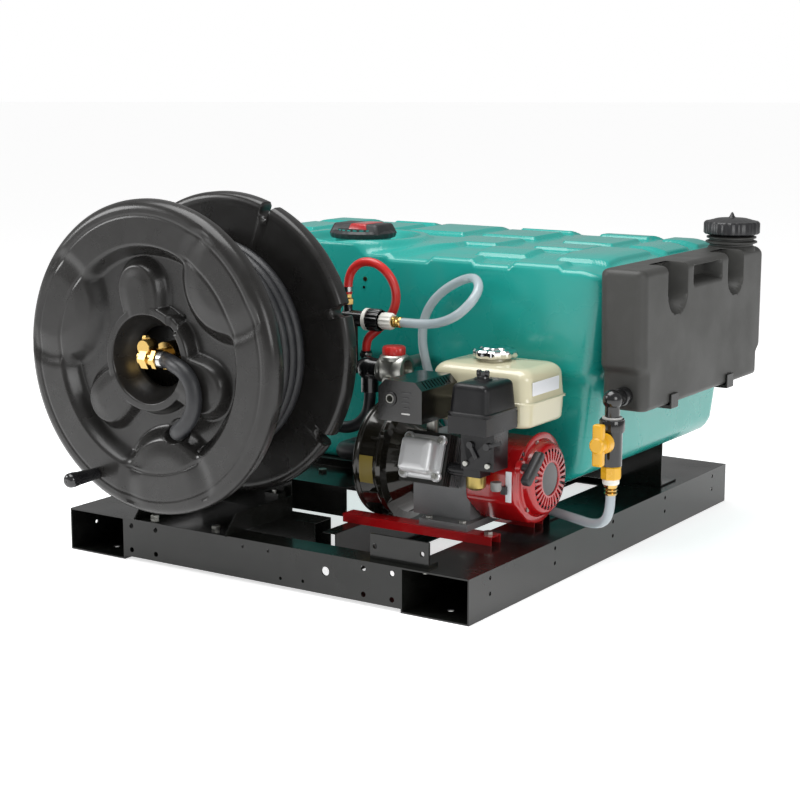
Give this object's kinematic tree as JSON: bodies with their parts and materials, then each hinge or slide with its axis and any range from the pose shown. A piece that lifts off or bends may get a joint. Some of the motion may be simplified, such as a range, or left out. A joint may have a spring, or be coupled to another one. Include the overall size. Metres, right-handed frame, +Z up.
{
  "type": "pressure washer",
  "caption": "Skid-mounted engine-driven pressure washer with a water tank, a hose reel, a chemical tank and fork pockets.",
  "frame": {"origin": "centre of the four tie-down holes, on the ground under the skid", "axes": "+X to the right along the front, +Y towards the back, +Z up"},
  "size_m": [1.187, 1.355, 0.769],
  "materials": {
    "frame_paint": "glossy dark gunmetal powder coat",
    "red_paint": "gloss red",
    "zinc_steel": "zinc plated",
    "teal_plastic": "satin moulded",
    "grey_plastic": "matte moulded",
    "black_plastic": "satin",
    "pump_black": "gloss black",
    "yellow_plastic": "satin",
    "brass": "machined",
    "clear_hose": "translucent braided",
    "red_hose": "gloss",
    "black_rubber": "satin",
    "cast_aluminium": "as cast, dark grey",
    "silver_paint": "satin silver",
    "guard_black": "satin heat-resistant black",
    "filter_foam": "pleated",
    "cream_paint": "gloss cream",
    "chrome": "polished",
    "reel_plastic": "satin moulded"
  },
  "bodies": {
    "skid": {"left_channel": "frame_paint", "right_channel": "frame_paint", "front_crossmember": "frame_paint", "rear_crossmember": "frame_paint", "tank_bearers": "frame_paint", "cross_bearers": "frame_paint", "engine_rails": "red_paint", "front_shelf": "frame_paint", "lift_bracket": "frame_paint", "reel_stand": "frame_paint", "fasteners": "zinc_steel", "water_tank": "teal_plastic", "chemical_tank": "grey_plastic", "tank_hooks": "frame_paint", "outlet_elbow": "black_plastic", "valve_body": "black_plastic", "valve_union": "brass", "suction_pipe": "black_rubber", "feed_hose": "clear_hose", "dosing_hose": "red_hose", "delivery_hose": "black_rubber", "inductor": "black_plastic", "inductor_tails": "brass", "manifold_tee": "zinc_steel", "manifold_elbow": "black_plastic", "pump_volute": "pump_black", "pump_bell": "pump_black", "crankcase": "cast_aluminium", "cylinder_head": "cast_aluminium", "rocker_cover": "silver_paint", "muffler": "zinc_steel", "muffler_guard": "guard_black", "carburettor": "black_plastic", "air_cleaner_base": "black_plastic", "air_filter": "filter_foam", "air_cleaner_cover": "black_plastic", "fuel_tank": "cream_paint", "fan_shroud": "red_paint", "recoil_cover": "red_paint"},
    "reel": {"front_disc": "reel_plastic", "rear_disc": "reel_plastic", "reel_drum": "reel_plastic", "wound_hose": "black_rubber", "reel_swivel": "brass", "jumper_hose": "black_rubber"},
    "grip": {"crank_grip": "black_plastic"},
    "reel_lock": {"lock_pin": "zinc_steel"},
    "shaft_group": {"crankshaft": "zinc_steel", "flywheel": "zinc_steel", "pump_impeller": "brass"},
    "pull_grip": {"starter_handle": "black_plastic"},
    "fuel_filler_cap": {"fuel_cap": "chrome"},
    "dosing_valve_lever": {"valve_handle": "yellow_plastic"},
    "water_lid": {"tank_lid": "black_plastic"},
    "chemical_lid": {"chemical_cap": "black_plastic"},
    "prime_cap": {"priming_cap": "red_hose"},
    "throttle": {"throttle_lever": "black_plastic"},
    "choke": {"choke_lever": "black_plastic"},
    "cover_knob": {"wing_knob": "black_plastic"},
    "switch": {"stop_switch": "black_plastic"}
  },
  "joints": [
    {"name": "reel_spin", "type": "hinge", "parent": "skid", "child": "reel", "pos_m": [-0.204, -0.53, 0.451], "axis": [0, 1, 0], "continuous": true},
    {"name": "grip_spin", "type": "hinge", "parent": "reel", "child": "grip", "pos_m": [-0.34169, -0.71, 0.20261], "axis": [0, 1, 0], "continuous": true},
    {"name": "lock_pull", "type": "slide", "parent": "skid", "child": "reel_lock", "axis": [0, 0, 1], "range_m": [-0.01, 0], "stiffness_N_per_m": 400, "springref_m": 0.004},
    {"name": "shaft_spin", "type": "hinge", "parent": "skid", "child": "shaft_group", "pos_m": [0.267, -0.242, 0.212], "axis": [1, 0, 0], "continuous": true},
    {"name": "starter_pull", "type": "slide", "parent": "skid", "child": "pull_grip", "axis": [0, -0.8, 0.6], "range_m": [0, 0.5], "stiffness_N_per_m": 25, "springref_m": -0.3},
    {"name": "fuel_cap_turn", "type": "hinge", "parent": "skid", "child": "fuel_filler_cap", "pos_m": [0.342, -0.232, 0.457], "axis": [0, 0, 1], "range_deg": [0, 90]},
    {"name": "valve_turn", "type": "hinge", "parent": "skid", "child": "dosing_valve_lever", "pos_m": [0.6, -0.215, 0.3], "axis": [0, 1, 0], "range_deg": [0, 90]},
    {"name": "lid_turn", "type": "hinge", "parent": "skid", "child": "water_lid", "pos_m": [-0.14, 0, 0.66], "axis": [0, 0, 1], "range_deg": [0, 300]},
    {"name": "chemical_cap_turn", "type": "hinge", "parent": "skid", "child": "chemical_lid", "pos_m": [0.595, 0.355, 0.68], "axis": [0, 0, 1], "range_deg": [0, 300]},
    {"name": "prime_cap_turn", "type": "hinge", "parent": "skid", "child": "prime_cap", "pos_m": [0.103, -0.242, 0.44], "axis": [0, 0, 1], "range_deg": [0, 300]},
    {"name": "throttle_swing", "type": "hinge", "parent": "skid", "child": "throttle", "pos_m": [0.426, -0.405, 0.3], "axis": [0, 1, 0], "range_deg": [-20, 30]},
    {"name": "choke_swing", "type": "hinge", "parent": "skid", "child": "choke", "pos_m": [0.388, -0.405, 0.3], "axis": [0, 1, 0], "range_deg": [-45, 25]},
    {"name": "knob_turn", "type": "hinge", "parent": "skid", "child": "cover_knob", "pos_m": [0.401, -0.379, 0.437], "axis": [0, 0, 1], "range_deg": [0, 300]},
    {"name": "switch_rock", "type": "hinge", "parent": "skid", "child": "switch", "pos_m": [0.434, -0.349, 0.204], "axis": [1, 0, 0], "range_deg": [-8, 8]}
  ]
}
